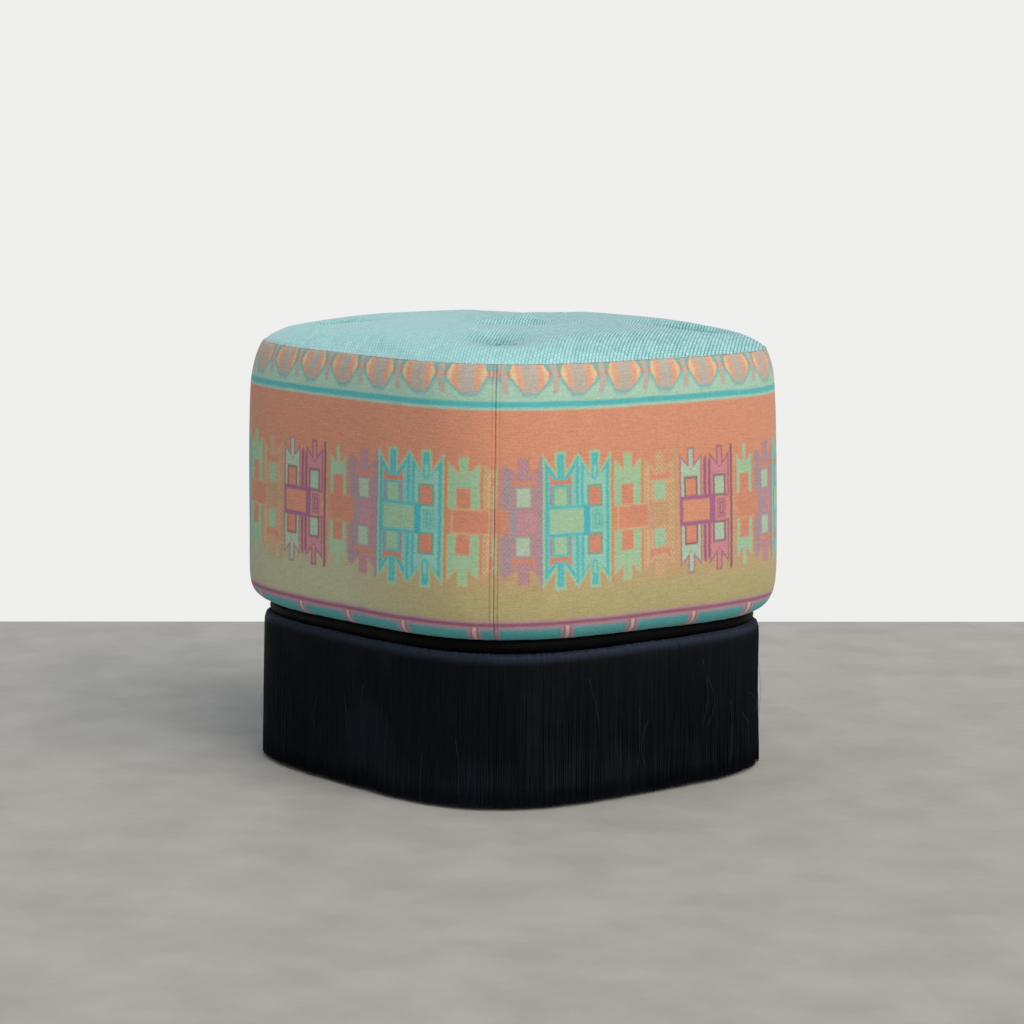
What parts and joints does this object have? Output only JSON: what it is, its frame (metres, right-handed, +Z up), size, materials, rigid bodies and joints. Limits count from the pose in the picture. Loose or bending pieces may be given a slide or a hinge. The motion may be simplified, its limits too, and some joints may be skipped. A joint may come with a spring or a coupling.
{
  "type": "tuffet",
  "caption": "Square upholstered tuffet with softly bulged patterned sides, a crowned tufted top and a long fringe that hides its recessed plinth.",
  "frame": {"origin": "on the floor under the middle of the seat", "axes": "+Z up; the four faces look along X and Y; the side cloth's seams are at the corners towards +X-Y and -X+Y"},
  "size_m": [0.45, 0.45, 0.443],
  "materials": {
    "aqua_cloth": "chunky basket weave",
    "patterned_cloth": "tapestry weave with geometric bands",
    "fringe": "silky strands",
    "black_cloth": "plain matt",
    "wadding": "bonded polyester fibre",
    "foam": "open cell foam",
    "twine": "waxed",
    "felt": "pressed felt",
    "plywood": "raw birch",
    "hardboard": "raw",
    "pine": "sawn",
    "steel": "zinc plated",
    "glide_plastic": "moulded"
  },
  "bodies": {
    "root": {"bottom_board": "plywood", "corner_post_1": "pine", "corner_post_2": "pine", "corner_post_3": "pine", "corner_post_4": "pine", "deck_board": "plywood", "dust_cover": "black_cloth", "fringe_back": "fringe", "fringe_front": "fringe", "fringe_left": "fringe", "fringe_right": "fringe", "glide_1": "glide_plastic", "glide_2": "glide_plastic", "glide_3": "glide_plastic", "glide_4": "glide_plastic", "plinth_bottom_board": "plywood", "plinth_cloth": "black_cloth", "plinth_post_1": "pine", "plinth_post_2": "pine", "plinth_post_3": "pine", "plinth_post_4": "pine", "plinth_screw_1": "steel", "plinth_screw_2": "steel", "plinth_screw_3": "steel", "plinth_screw_4": "steel", "plinth_skin_back": "hardboard", "plinth_skin_front": "hardboard", "plinth_skin_left": "hardboard", "plinth_skin_right": "hardboard", "plinth_top_board": "plywood", "side_cloth_left": "patterned_cloth", "side_cloth_right": "patterned_cloth", "side_foam": "foam", "side_skin_back": "hardboard", "side_skin_front": "hardboard", "side_skin_left": "hardboard", "side_skin_right": "hardboard", "tie_washer_1": "felt", "tie_washer_2": "felt", "tie_washer_3": "felt", "tie_washer_4": "felt", "tie_washer_5": "felt", "top_cover": "aqua_cloth", "top_foam": "foam", "top_wadding": "wadding", "tuft_stitch_1": "twine", "tuft_stitch_2": "twine", "tuft_stitch_3": "twine", "tuft_stitch_4": "twine", "tuft_stitch_5": "twine"}
  },
  "joints": []
}
